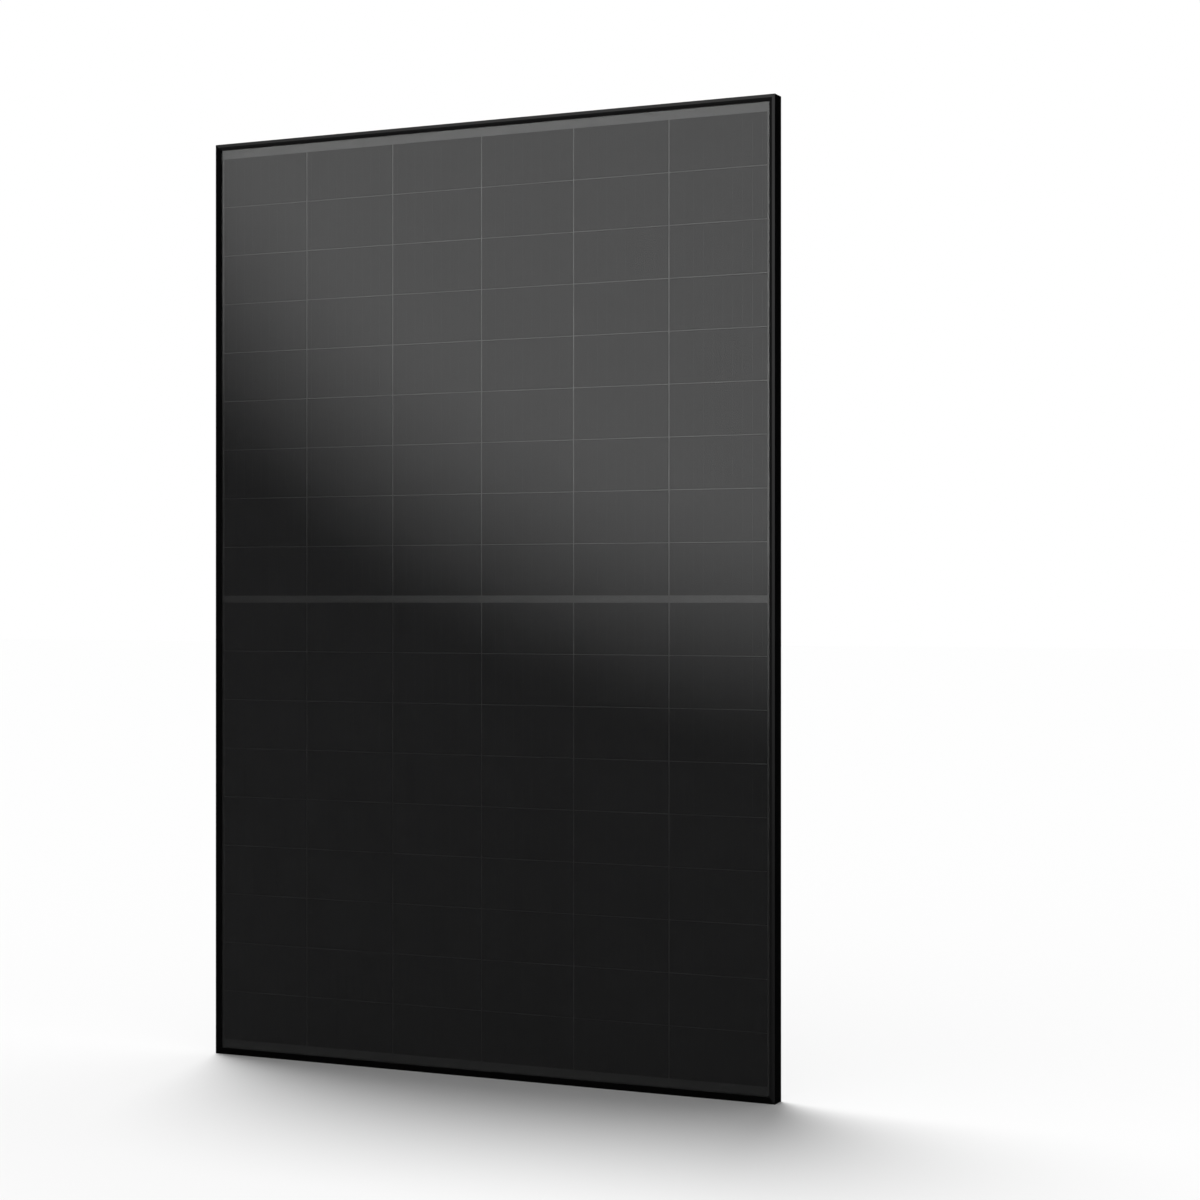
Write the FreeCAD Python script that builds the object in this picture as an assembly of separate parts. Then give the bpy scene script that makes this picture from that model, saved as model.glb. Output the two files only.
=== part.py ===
import FreeCAD, Part
import math
import os

from FreeCAD import Vector

# Framed glass-glass solar panel, in millimetres. X runs to the right as seen from the front, Z is up, and
# Y runs from the front lip at -frame_depth to the rear mounting plane at 0. The origin is the panel's centre
# on that rear plane. An inset is a distance inward from the outer faces, a height one forward of that plane.

# Whole panel
panel_width = 1134.0
panel_height = 1722.0
frame_depth = 30.0

# Frame extrusion: a closed chamber for the corner keys, a shelf, a groove for the laminate and a lip
frame_wall = 1.5
flange_width = 30.0
flange_thickness = 1.8
chamber_width = 8.5
shelf_top = 21.2
lip_underside = 27.1
lip_tip_height = 27.6
lip_width = 11.2
lip_flat = 5.5
edge_radius = 0.4
mitre_reach = 40.0
key_leg = 62.0

# Holes in the rear flange
slot_length = 14.0
slot_width = 9.0
slot_column_spacing = 1086.0
outer_slot_spacing = 1400.0
inner_slot_spacing = 790.0
ground_hole_radius = 2.1
ground_hole_spacing = 1120.0
drain_slot_length = 8.0
drain_slot_width = 4.0
drain_slot_from_end = 52.0
drain_slot_inset = 20.0

# Laminate, from the rear glass forward
laminate_inset = 3.0
rear_glass_height = 21.5
glass_thickness = 2.0
print_thickness = 0.05
encapsulant_thickness = 0.4
cell_thickness = 0.2

# Cell grid: half cells in two banks, above and below the centre line
columns = 6
rows_per_bank = 9
cell_width = 182.2
cell_height = 91.0
column_gap = 1.83
row_gap = 0.93
centre_gap = 13.0
column_line = 3.0
row_line = 2.0
centre_band = 17.4

# Ribbons that join the strings of cells
ribbon_width = 5.0
ribbon_from_cells = 5.0
ribbon_end_inset = 14.0
lead_offset = 9.0
lead_width = 4.0
lead_thickness = 0.3
lead_top = 17.5
lead_slot_width = 30.0
lead_slot_height = 6.0

# Junction boxes, one at the middle of each pair of columns
box_pitch = 2.0 * (cell_width + column_gap)
box_width = 64.0
box_height = 25.0
box_wall = 1.8
box_floor = 1.5
box_corner = 3.0
adhesive_thickness = 0.8
base_depth = 11.5
lid_gap = 0.2
lid_thickness = 1.5
lid_skirt = 2.5
lid_skirt_gap = 0.3
lid_skirt_wall = 1.2
lid_corner_round = 0.6
potting_depth = 7.2
terminal_thickness = 1.0
terminal_start = 6.0
terminal_end = 24.0
terminal_half_height = 8.5
barrel_radius = 1.9
barrel_length = 7.0
barrel_foot = 3.0
diode_size = (9.0, 4.2, 5.5)
diode_drop = 5.2
diode_leg = (5.0, 0.6, 2.0)

# Cable and its strain relief
cable_diameter = 5.3
cable_depth = -14.5
gland_length = 6.0
gland_root_radius = 4.8
gland_tip_radius = 3.7

# Connectors, measured down from the top of the back nut
connector_offset = 455.8
connector_depth = -11.0
connector_top = -142.4
connector_length = 55.0
nut_length = 18.7
nut_radius = 8.9
nut_nose_radius = 6.6
nut_nose_length = 4.0
nut_hole_radius = 3.0
nut_roof = 6.0
nut_bore_radius = 6.3
nut_flutes = 16
nut_flute_radius = 0.9
stub_start = 14.0
stub_radius = 6.0
collar_start = 19.0
collar_end = 22.0
collar_radius = 8.2
barrel_body_radius = 7.3
seal_start = 8.0
seal_outer_radius = 5.6

# Plug: a socketed body with a pin in it and two latch arms at its sides
plug_bore_start = 33.0
plug_bore_radius = 5.2
pin_start = 18.0
pin_barrel_radius = 2.5
pin_radius = 2.0
pin_end = 49.0
pin_tip = 1.0
lug_start = 23.0
lug_end = 29.7
lug_outer = 10.4
lug_half_depth = 4.0
arm_start = 30.0
arm_end = 53.0
arm_outer = 10.4
arm_inner = 9.0
arm_half_depth = 3.2
arm_hook_length = 4.0
arm_hook_start = 47.0

# Socket: a body with a nose that goes into the plug, a sleeve contact and a sealing ring
shoulder_start = 31.0
nose_start = 35.0
nose_radius = 4.9
nose_mouth_radius = 2.3
nose_lip = 2.0
sleeve_start = 20.0
sleeve_radius = 3.1
sleeve_bore_radius = 2.05
sleeve_bore_depth = 22.0
ring_start = 38.0
ring_width = 1.8
ring_inner_radius = 4.2
ring_outer_radius = 5.15

half_width = panel_width / 2.0
half_height = panel_height / 2.0
print_back = rear_glass_height + glass_thickness
print_middle = print_back + print_thickness
encapsulant_back = print_middle + print_thickness
cell_back = encapsulant_back + encapsulant_thickness
cell_front = cell_back + cell_thickness
front_glass_back = cell_front + encapsulant_thickness
front_glass_front = front_glass_back + glass_thickness
adhesive_front = rear_glass_height - adhesive_thickness
base_rim = adhesive_front - base_depth
lid_inside = base_rim - lid_gap
box_places = {"plug": -box_pitch, "middle": 0.0, "socket": box_pitch}
sides = {"plug": -1.0, "socket": 1.0}

# Route of the cable on the +X side: out of the strain relief, round a quarter bend and down to the connector.
cable_start = box_pitch + box_width / 2.0 + gland_length
cable_route = [
    Vector(cable_start, cable_depth, 0.0),
    Vector(424.0, -14.5, 0.0),
    Vector(444.5, -14.3, -10.0),
    Vector(456.2, -13.9, -32.0),
    Vector(457.0, -13.0, -74.0),
    Vector(connector_offset, connector_depth, -122.0),
    Vector(connector_offset, connector_depth, connector_top - stub_start),
]


def block(x_range, y_range, z_range):
    """A box between two X, two Y and two Z values."""
    size = [abs(r[1] - r[0]) for r in (x_range, y_range, z_range)]
    corner = Vector(min(x_range), min(y_range), min(z_range))
    return Part.makeBox(size[0], size[1], size[2], corner)


def rounded_path(points, radii, closed):
    """Straight runs joined by tangent arcs. A radius of 0 keeps that corner sharp."""
    count = len(points)
    entries = []
    exits = []
    arcs = []
    for index, point in enumerate(points):
        is_end = not closed and index in (0, count - 1)
        if is_end or radii[index] == 0:
            entries.append(point)
            exits.append(point)
            arcs.append(None)
            continue
        before = (point - points[index - 1]).normalize()
        after = (points[(index + 1) % count] - point).normalize()
        half_turn = before.getAngle(after) / 2.0
        reach = radii[index] * math.tan(half_turn)
        inward = (after - before).normalize()
        sagitta = radii[index] / math.cos(half_turn) - radii[index]
        entries.append(point - before * reach)
        exits.append(point + after * reach)
        arcs.append(Part.Arc(entries[-1], point + inward * sagitta, exits[-1]).toShape())
    edges = []
    for index in range(count):
        if arcs[index]:
            edges.append(arcs[index])
        following = (index + 1) % count
        if following or closed:
            edges.append(Part.LineSegment(exits[index], entries[following]).toShape())
    return Part.Wire(edges)


def prism(points, radii, direction):
    """A closed outline pushed along a direction."""
    return Part.Face(rounded_path(points, radii, True)).extrude(direction)


def rounded_block(width, height, radius, y_range, x_centre):
    """A plate across Y with rounded corners, centred on x_centre and Z 0."""
    signs = [(-1, -1), (1, -1), (1, 1), (-1, 1)]
    y_low = min(y_range)
    corners = [Vector(x_centre + i * width / 2.0, y_low, j * height / 2.0) for i, j in signs]
    return prism(corners, [radius] * 4, Vector(0, abs(y_range[1] - y_range[0]), 0))


def turned(profile, side):
    """A solid turned about a connector's axis. The profile is (radius, distance below the nut's top)."""
    axis_x = side * connector_offset
    points = [Vector(axis_x + r, connector_depth, connector_top - s) for r, s in profile]
    face = Part.Face(Part.makePolygon(points + points[:1]))
    return face.revolve(Vector(axis_x, connector_depth, 0), Vector(0, 0, 1), 360)


def ring_profile(inner, outer, start, end):
    """A square-cut ring's profile."""
    return [(inner, start), (outer, start), (outer, end), (inner, end)]


def on_side(side, near, far, half_depth, start, end):
    """A block beside a connector's axis, between two distances from the axis and two distances down it."""
    x_axis = side * connector_offset
    x_range = (x_axis + near, x_axis + far)
    y_range = (connector_depth - half_depth, connector_depth + half_depth)
    return block(x_range, y_range, (connector_top - end, connector_top - start))


def frame_section():
    """The extrusion's cross-section as (inset, height) outlines: the outer boundary and the key chamber."""
    chamber_end = frame_wall + chamber_width
    inner_face = chamber_end + frame_wall
    outer = [
        (0, 0, edge_radius),
        (flange_width, 0, edge_radius),
        (flange_width, flange_thickness, edge_radius),
        (inner_face, flange_thickness, 0),
        (inner_face, shelf_top, 0),
        (frame_wall, shelf_top, 0),
        (frame_wall, lip_underside, 0),
        (lip_width, lip_underside, 0),
        (lip_width, lip_tip_height, 0),
        (lip_flat, frame_depth, edge_radius),
        (0, frame_depth, edge_radius),
    ]
    chamber_top = shelf_top - frame_wall
    chamber = [
        (frame_wall, flange_thickness, 0),
        (chamber_end, flange_thickness, 0),
        (chamber_end, chamber_top, 0),
        (frame_wall, chamber_top, 0),
    ]
    return outer, chamber


def frame_bar(half_length, half_span):
    """One bar along Z with its outer face at -X, cut to a mitre at both ends."""
    wires = []
    for outline in frame_section():
        points = [Vector(inset - half_span, -height, -half_length) for inset, height, r in outline]
        wires.append(rounded_path(points, [r for inset, height, r in outline], True))
    length = Vector(0, 0, 2.0 * half_length)
    bar = Part.Face(wires[0]).extrude(length).cut(Part.Face(wires[1]).extrude(length))
    outer_x = -half_span
    inner_x = mitre_reach - half_span
    ends = [
        Vector(outer_x, -frame_depth, -half_length),
        Vector(outer_x, -frame_depth, half_length),
        Vector(inner_x, -frame_depth, half_length - mitre_reach),
        Vector(inner_x, -frame_depth, mitre_reach - half_length),
    ]
    return bar.common(prism(ends, [0] * 4, Vector(0, frame_depth, 0)))


def through_flange(x, z, length, width):
    """A slot through the rear flange, its long side along Z. Equal length and width make a round hole."""
    bottom = -2.0 * flange_thickness
    depth = 3.0 * flange_thickness
    straight = (length - width) / 2.0
    radius = width / 2.0
    hole = Part.makeCylinder(radius, depth, Vector(x, bottom, z - straight), Vector(0, 1, 0))
    if straight > 0:
        other = Part.makeCylinder(radius, depth, Vector(x, bottom, z + straight), Vector(0, 1, 0))
        middle = block((x - radius, x + radius), (bottom, bottom + depth), (z - straight, z + straight))
        hole = hole.fuse([other, middle]).removeSplitter()
    return hole


def long_bar():
    """The left bar, with its mounting slots and grounding holes."""
    bar = frame_bar(half_height, half_width)
    x = -slot_column_spacing / 2.0
    for spacing in (outer_slot_spacing, inner_slot_spacing):
        for sign in (-1, 1):
            bar = bar.cut(through_flange(x, sign * spacing / 2.0, slot_length, slot_width))
    for sign in (-1, 1):
        hole = 2.0 * ground_hole_radius
        bar = bar.cut(through_flange(x, sign * ground_hole_spacing / 2.0, hole, hole))
    return bar


def short_bar():
    """The bottom bar, with a drain slot near each end, turned from a bar along Z."""
    bar = frame_bar(half_width, half_height)
    for sign in (-1, 1):
        z = sign * (half_width - drain_slot_from_end)
        x = drain_slot_inset - half_height
        bar = bar.cut(through_flange(x, z, drain_slot_length, drain_slot_width))
    return bar.rotate(Vector(0, 0, 0), Vector(0, 1, 0), -90)


def corner_keys():
    """Four pressed corner angles that fill the chambers where the bars meet."""
    inset = frame_wall
    outer_x = half_width - inset
    outer_z = half_height - inset
    y_range = (-(shelf_top - frame_wall), -flange_thickness)
    keys = []
    for i in (-1, 1):
        for j in (-1, 1):
            corners = [
                (outer_x, outer_z),
                (outer_x - key_leg, outer_z),
                (outer_x - key_leg, outer_z - chamber_width),
                (outer_x - chamber_width, outer_z - chamber_width),
                (outer_x - chamber_width, outer_z - key_leg),
                (outer_x, outer_z - key_leg),
            ]
            points = [Vector(i * x, y_range[0], j * z) for x, z in corners]
            keys.append(prism(points, [0] * 6, Vector(0, y_range[1] - y_range[0], 0)))
    return Part.makeCompound(keys)


def sheet(inset, back, front):
    """A flat layer of the laminate between two heights above the rear plane."""
    x = half_width - inset
    z = half_height - inset
    return block((-x, x), (-front, -back), (-z, z))


def lead_slots(back, front):
    """Where the ribbon leads pass through the layers behind the cells, one slot behind each junction box."""
    half = lead_slot_width / 2.0
    z = lead_slot_height / 2.0
    return [block((x - half, x + half), (-front, -back), (-z, z)) for x in box_places.values()]


def edge_sealant():
    """The bead that fills the groove round the laminate."""
    ring = sheet(frame_wall, shelf_top, lip_underside)
    inside = sheet(lip_width, shelf_top, lip_underside)
    return ring.cut([inside, sheet(laminate_inset, rear_glass_height, front_glass_front)])


def cell_column_x(column):
    return (column - (columns - 1) / 2.0) * (cell_width + column_gap)


def cell_bottom_z(row, bank):
    """The lower edge of a cell. Bank 1 is above the centre line and bank -1 below it."""
    near = centre_gap / 2.0 + row * (cell_height + row_gap)
    return near if bank > 0 else -near - cell_height


def cell_string(column, bank):
    """The nine half cells of one column in one bank."""
    x = cell_column_x(column)
    cells = []
    for row in range(rows_per_bank):
        z = cell_bottom_z(row, bank)
        x_range = (x - cell_width / 2.0, x + cell_width / 2.0)
        cells.append(block(x_range, (-cell_front, -cell_back), (z, z + cell_height)))
    return Part.makeCompound(cells)


def grid_print(back, front):
    """A lattice printed on the rear glass. Its bars cover the gaps and a little of each cell's edge."""
    windows = []
    half_window = (cell_width + column_gap - column_line) / 2.0
    overlap = (row_line - row_gap) / 2.0
    for column in range(columns):
        x = cell_column_x(column)
        for bank in (-1, 1):
            for row in range(rows_per_bank):
                low = cell_bottom_z(row, bank) + overlap
                high = low + cell_height - 2.0 * overlap
                if row == 0 and bank > 0:
                    low = centre_band / 2.0
                if row == 0 and bank < 0:
                    high = -centre_band / 2.0
                windows.append(block((x - half_window, x + half_window), (-front, -back), (low, high)))
    return sheet(laminate_inset, back, front).cut(windows + lead_slots(back, front))


def ribbon(x_start, x_end, z):
    half = ribbon_width / 2.0
    return block((x_start, x_end), (-cell_front, -cell_back), (z - half, z + half))


def end_ribbons(bank):
    """At the panel's top or bottom, one ribbon joins the two columns of each pair."""
    cells_end = centre_gap / 2.0 + rows_per_bank * (cell_height + row_gap) - row_gap
    z = bank * (cells_end + ribbon_from_cells + ribbon_width / 2.0)
    reach = cell_width - ribbon_end_inset
    return Part.makeCompound([ribbon(x - reach, x + reach, z) for x in box_places.values()])


def middle_ribbons():
    """Four ribbons along the centre gap, with a lead up into a junction box at each end that meets one."""
    end = half_width - flange_width
    stops = [-end]
    for x in sorted(box_places.values()):
        stops += [x - lead_offset, x + lead_offset]
    stops.append(end)
    pieces = []
    for start, stop in zip(stops[0::2], stops[1::2]):
        piece = ribbon(start, stop, 0.0)
        for x in (start, stop):
            if abs(x) == end:
                continue
            x_range = (x - lead_width / 2.0, x + lead_width / 2.0)
            z_half = lead_thickness / 2.0
            piece = piece.fuse(block(x_range, (-cell_front, -lead_top), (-z_half, z_half)))
        pieces.append(piece.removeSplitter())
    return Part.makeCompound(pieces)


def box_adhesive():
    """The silicone pads that hold the three junction boxes on the rear glass."""
    slots = lead_slots(adhesive_front, rear_glass_height)
    pads = []
    for x, slot in zip(box_places.values(), slots):
        y_range = (-rear_glass_height, -adhesive_front)
        pads.append(rounded_block(box_width, box_height, box_corner, y_range, x).cut(slot))
    return Part.makeCompound(pads)


def box_cavity(x, y_range, shrink):
    """The room inside a junction box, less a margin."""
    width = box_width - 2.0 * (box_wall + shrink)
    height = box_height - 2.0 * (box_wall + shrink)
    return rounded_block(width, height, box_corner - box_wall, y_range, x)


def box_base(x):
    """An open shell whose floor has the slot for the ribbon leads."""
    shell = rounded_block(box_width, box_height, box_corner, (-adhesive_front, -base_rim), x)
    cavity = box_cavity(x, (box_floor - adhesive_front, -base_rim), 0.0)
    half = lead_slot_width / 2.0
    z = lead_slot_height / 2.0
    slot = block((x - half, x + half), (-adhesive_front, box_floor - adhesive_front), (-z, z))
    return shell.cut([cavity, slot])


def box_lid(x):
    """A cover with softened edges and a skirt that clips inside the base."""
    outer_face = lid_thickness - lid_inside
    plate = rounded_block(box_width, box_height, box_corner, (-lid_inside, outer_face), x)
    rim = [e for e in plate.Edges if all(abs(v.Y - outer_face) < 0.01 for v in e.Vertexes)]
    plate = plate.makeFillet(lid_corner_round, rim)
    skirt_range = (-lid_inside - lid_skirt, -lid_inside)
    skirt = box_cavity(x, skirt_range, lid_skirt_gap)
    skirt = skirt.cut(box_cavity(x, skirt_range, lid_skirt_gap + lid_skirt_wall))
    return plate.fuse(skirt)


def terminals(x, side):
    """Two copper plates slotted for the ribbon leads. A side of -1 or 1 adds the cable's crimp barrel."""
    floor_y = box_floor - adhesive_front
    top_y = floor_y + terminal_thickness
    plates = []
    for sign in (-1, 1):
        x_range = (x + sign * terminal_start, x + sign * terminal_end)
        plate = block(x_range, (floor_y, top_y), (-terminal_half_height, terminal_half_height))
        lead_x = x + sign * lead_offset
        lead_range = (lead_x - lead_width / 2.0, lead_x + lead_width / 2.0)
        plate = plate.cut(block(lead_range, (floor_y, top_y), (-lead_thickness, lead_thickness)))
        if sign == side:
            wall = Vector(x + sign * (box_width / 2.0 - box_wall), cable_depth, 0)
            barrel = Part.makeCylinder(barrel_radius, barrel_length, wall, Vector(-sign, 0, 0))
            inner_end = wall.x - sign * barrel_length
            foot_end = inner_end + sign * barrel_foot
            z_range = (-barrel_radius, barrel_radius)
            foot = block((inner_end, foot_end), (floor_y, cable_depth), z_range)
            bridge = block((x + sign * terminal_end, foot_end), (floor_y, top_y), z_range)
            plate = plate.fuse([barrel, foot, bridge]).removeSplitter()
        plates.append(plate)
    return Part.makeCompound(plates)


def diode(x):
    """A bypass diode that bridges the two terminals, its legs flat on them."""
    width, depth, height = diode_size
    leg_length, leg_depth, leg_height = diode_leg
    leg_y = box_floor - adhesive_front + terminal_thickness
    body_z = (-diode_drop - height / 2.0, height / 2.0 - diode_drop)
    body = block((x - width / 2.0, x + width / 2.0), (leg_y, leg_y + depth), body_z)
    legs = []
    for sign in (-1, 1):
        x_range = (x + sign * width / 2.0, x + sign * (width / 2.0 + leg_length))
        z_range = (-diode_drop - leg_height / 2.0, leg_height / 2.0 - diode_drop)
        legs.append(block(x_range, (leg_y, leg_y + leg_depth), z_range))
    return body.fuse(legs)


def potting(x, hidden):
    """The compound that fills the base up to its fill line, round everything hidden in it."""
    floor_y = box_floor - adhesive_front
    fill = box_cavity(x, (floor_y, floor_y + potting_depth), 0.0)
    leads = []
    for sign in (-1, 1):
        centre = x + sign * lead_offset
        half = lead_width / 2.0
        z_half = lead_thickness / 2.0
        leads.append(block((centre - half, centre + half), (floor_y, -lead_top), (-z_half, z_half)))
    return fill.cut(hidden + leads)


def gland(side):
    """The tapered strain relief on the box wall, moulded round the cable."""
    wall = Vector(side * (box_pitch + box_width / 2.0), cable_depth, 0)
    return Part.makeCone(gland_root_radius, gland_tip_radius, gland_length, wall, Vector(side, 0, 0))


def cable(side):
    """The cable's tube: its route with an arc at each turn as large as the two runs beside it allow."""
    route = [Vector(side * p.x, p.y, p.z) for p in cable_route]
    radii = [0.0] * len(route)
    for index in range(1, len(route) - 1):
        before = route[index] - route[index - 1]
        after = route[index + 1] - route[index]
        half_turn = before.getAngle(after) / 2.0
        radii[index] = 0.45 * min(before.Length, after.Length) / math.tan(half_turn)
    path = rounded_path(route, radii, False)
    start = Part.Circle(route[0], route[1] - route[0], cable_diameter / 2.0).toShape()
    tube = path.makePipeShell([Part.Wire(start)], True, True)
    section = math.pi * (cable_diameter / 2.0) ** 2
    print("cable radii", [round(r, 1) for r in radii[1:-1]], "length", round(path.Length, 2))
    print("cable volume", round(tube.Volume, 1), "section times length", round(section * path.Length, 1))
    return tube


def nut(side):
    """The back nut: a fluted cap with a hole for the cable."""
    cap = turned(
        [
            (nut_hole_radius, 0),
            (nut_nose_radius, 0),
            (nut_radius, nut_nose_length),
            (nut_radius, nut_length),
            (nut_bore_radius, nut_length),
            (nut_bore_radius, nut_roof),
            (nut_hole_radius, nut_roof),
        ],
        side,
    )
    flutes = []
    for index in range(nut_flutes):
        angle = 2.0 * math.pi * index / nut_flutes
        x = side * connector_offset + nut_radius * math.cos(angle)
        y = connector_depth + nut_radius * math.sin(angle)
        foot = Vector(x, y, connector_top - nut_length)
        flutes.append(Part.makeCylinder(nut_flute_radius, nut_length, foot))
    return cap.cut(flutes)


def cable_seal(side):
    """The rubber ring that the nut squeezes round the cable."""
    return turned(ring_profile(cable_diameter / 2.0, seal_outer_radius, seal_start, stub_start), side)


def plug_body(side):
    """The plug's housing, open at the front, with two lugs that the latch arms spring from."""
    housing = turned(
        [
            (0, stub_start),
            (stub_radius, stub_start),
            (stub_radius, collar_start),
            (collar_radius, collar_start),
            (collar_radius, collar_end),
            (barrel_body_radius, collar_end),
            (barrel_body_radius, connector_length),
            (plug_bore_radius, connector_length),
            (plug_bore_radius, plug_bore_start),
            (pin_barrel_radius, plug_bore_start),
            (pin_barrel_radius, pin_start),
            (0, pin_start),
        ],
        side,
    )
    lugs = []
    for i in (-1, 1):
        near = i * plug_bore_radius
        lugs.append(on_side(side, near, i * lug_outer, lug_half_depth, lug_start, lug_end))
    return housing.fuse(lugs).removeSplitter()


def plug_pin(side):
    """The contact: a crimp barrel held in the housing and a pin in the open bore."""
    return turned(
        [
            (0, pin_start),
            (pin_barrel_radius, pin_start),
            (pin_barrel_radius, plug_bore_start),
            (pin_radius, plug_bore_start),
            (pin_radius, pin_end - pin_tip),
            (pin_radius - pin_tip, pin_end),
            (0, pin_end),
        ],
        side,
    )


def latch_arm(side, i):
    """A springy arm along the housing, with a hook on its outer end."""
    x_axis = side * connector_offset
    slope = arm_outer - arm_inner
    outline = [
        (arm_inner, arm_start),
        (arm_outer, arm_start),
        (arm_outer, arm_end - arm_hook_length / 2.0),
        (arm_outer - slope / 2.0, arm_end),
        (arm_inner, arm_end),
        (arm_inner - slope / 4.0, arm_hook_start + arm_hook_length / 2.0),
        (arm_inner, arm_hook_start),
    ]
    y = connector_depth - arm_half_depth
    points = [Vector(x_axis + i * x, y, connector_top - s) for x, s in outline]
    return prism(points, [0] * len(points), Vector(0, 2.0 * arm_half_depth, 0))


def socket_body(side):
    """The socket's housing with the nose that enters a plug, and a groove for the ring."""
    ring_end = ring_start + ring_width
    mouth_start = connector_length - nose_lip
    return turned(
        [
            (0, stub_start),
            (stub_radius, stub_start),
            (stub_radius, collar_start),
            (collar_radius, collar_start),
            (collar_radius, collar_end),
            (barrel_body_radius, collar_end),
            (barrel_body_radius, shoulder_start),
            (collar_radius, shoulder_start),
            (collar_radius, nose_start),
            (nose_radius, nose_start),
            (nose_radius, ring_start),
            (ring_inner_radius, ring_start),
            (ring_inner_radius, ring_end),
            (nose_radius, ring_end),
            (nose_radius, connector_length),
            (nose_mouth_radius, connector_length),
            (nose_mouth_radius, mouth_start),
            (sleeve_radius, mouth_start),
            (sleeve_radius, sleeve_start),
            (0, sleeve_start),
        ],
        side,
    )


def socket_sleeve(side):
    """The contact: a sleeve bored from the front for a pin."""
    front = connector_length - nose_lip
    back = front - sleeve_bore_depth
    return turned(
        [
            (0, sleeve_start),
            (sleeve_radius, sleeve_start),
            (sleeve_radius, front),
            (sleeve_bore_radius, front),
            (sleeve_bore_radius, back),
            (0, back),
        ],
        side,
    )


def socket_ring(side):
    """The sealing ring in the nose's groove."""
    ring_end = ring_start + ring_width
    return turned(ring_profile(ring_inner_radius, ring_outer_radius, ring_start, ring_end), side)


def frame_parts():
    left = long_bar()
    bottom = short_bar()
    centre = Vector(0, 0, 0)
    right = left.copy().rotate(centre, Vector(0, 1, 0), 180)
    top = bottom.copy().rotate(centre, Vector(0, 1, 0), 180)
    return {
        "frame_left": left,
        "frame_right": right,
        "frame_bottom": bottom,
        "frame_top": top,
        "corner_keys": corner_keys(),
        "edge_sealant": edge_sealant(),
    }


def laminate_parts():
    rear_glass = sheet(laminate_inset, rear_glass_height, print_back)
    rear_encapsulant = sheet(laminate_inset, encapsulant_back, cell_back)
    parts = {
        "front_glass": sheet(laminate_inset, front_glass_back, front_glass_front),
        "front_encapsulant": sheet(laminate_inset, cell_front, front_glass_back),
        "grid_print_black": grid_print(print_middle, encapsulant_back),
        "grid_print_white": grid_print(print_back, print_middle),
        "rear_encapsulant": rear_encapsulant.cut(lead_slots(encapsulant_back, cell_back)),
        "rear_glass": rear_glass.cut(lead_slots(rear_glass_height, print_back)),
        "ribbons_top": end_ribbons(1),
        "ribbons_middle": middle_ribbons(),
        "ribbons_bottom": end_ribbons(-1),
    }
    for column in range(columns):
        parts["cells_upper_%d" % (column + 1)] = cell_string(column, 1)
        parts["cells_lower_%d" % (column + 1)] = cell_string(column, -1)
    return parts


def box_parts():
    parts = {"box_adhesive": box_adhesive()}
    for name, x in box_places.items():
        plates = terminals(x, sides.get(name, 0))
        bridge = diode(x)
        parts[name + "_box_base"] = box_base(x)
        parts[name + "_box_lid"] = box_lid(x)
        parts[name + "_box_terminals"] = plates
        parts[name + "_box_diode"] = bridge
        parts[name + "_box_potting"] = potting(x, [plates, bridge])
    return parts


def cable_parts():
    plug = sides["plug"]
    socket = sides["socket"]
    parts = {
        "plug_body": plug_body(plug),
        "plug_pin": plug_pin(plug),
        "plug_latch_outer": latch_arm(plug, -1),
        "plug_latch_inner": latch_arm(plug, 1),
        "socket_body": socket_body(socket),
        "socket_sleeve": socket_sleeve(socket),
        "socket_ring": socket_ring(socket),
    }
    for name, side in sides.items():
        parts[name + "_gland"] = gland(side)
        parts[name + "_cable"] = cable(side)
        parts[name + "_nut"] = nut(side)
        parts[name + "_seal"] = cable_seal(side)
    return parts


os.makedirs("parts", exist_ok=True)
for make in (frame_parts, laminate_parts, box_parts, cable_parts):
    for node, shape in make().items():
        shape.exportStep("parts/" + node + ".step")
        print(node, "valid", shape.isValid(), "solids", len(shape.Solids), "volume", round(shape.Volume, 1))
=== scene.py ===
import math
import bmesh
import bpy
from mathutils import Matrix, Vector


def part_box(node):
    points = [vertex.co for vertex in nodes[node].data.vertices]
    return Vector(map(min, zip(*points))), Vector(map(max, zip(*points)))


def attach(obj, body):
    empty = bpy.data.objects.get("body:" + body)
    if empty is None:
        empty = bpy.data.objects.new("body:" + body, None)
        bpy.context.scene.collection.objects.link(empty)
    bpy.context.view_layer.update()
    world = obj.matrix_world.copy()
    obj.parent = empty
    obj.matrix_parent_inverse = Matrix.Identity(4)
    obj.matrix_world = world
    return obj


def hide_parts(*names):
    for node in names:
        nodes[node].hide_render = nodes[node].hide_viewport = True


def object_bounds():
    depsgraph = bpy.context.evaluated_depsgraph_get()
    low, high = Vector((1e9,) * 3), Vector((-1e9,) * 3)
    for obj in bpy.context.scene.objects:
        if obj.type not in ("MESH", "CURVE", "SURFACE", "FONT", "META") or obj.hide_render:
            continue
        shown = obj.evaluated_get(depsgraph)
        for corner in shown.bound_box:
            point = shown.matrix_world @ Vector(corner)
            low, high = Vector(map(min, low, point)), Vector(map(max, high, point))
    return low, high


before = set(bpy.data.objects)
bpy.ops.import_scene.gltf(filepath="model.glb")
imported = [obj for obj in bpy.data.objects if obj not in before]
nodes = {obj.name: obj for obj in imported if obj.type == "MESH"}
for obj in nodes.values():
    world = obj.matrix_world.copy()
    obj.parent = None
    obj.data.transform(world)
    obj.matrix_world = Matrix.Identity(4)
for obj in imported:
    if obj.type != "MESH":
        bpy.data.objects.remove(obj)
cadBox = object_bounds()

scene = bpy.context.scene

cameraLook = {
    "place": (2.0968, -3.9909, -0.0016),   # metres from the middle of the rear plane
    "turn": 25.14,                         # degrees to the left of straight ahead
    "lens": 74.63,                         # mm on a 36 mm sensor
}


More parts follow.
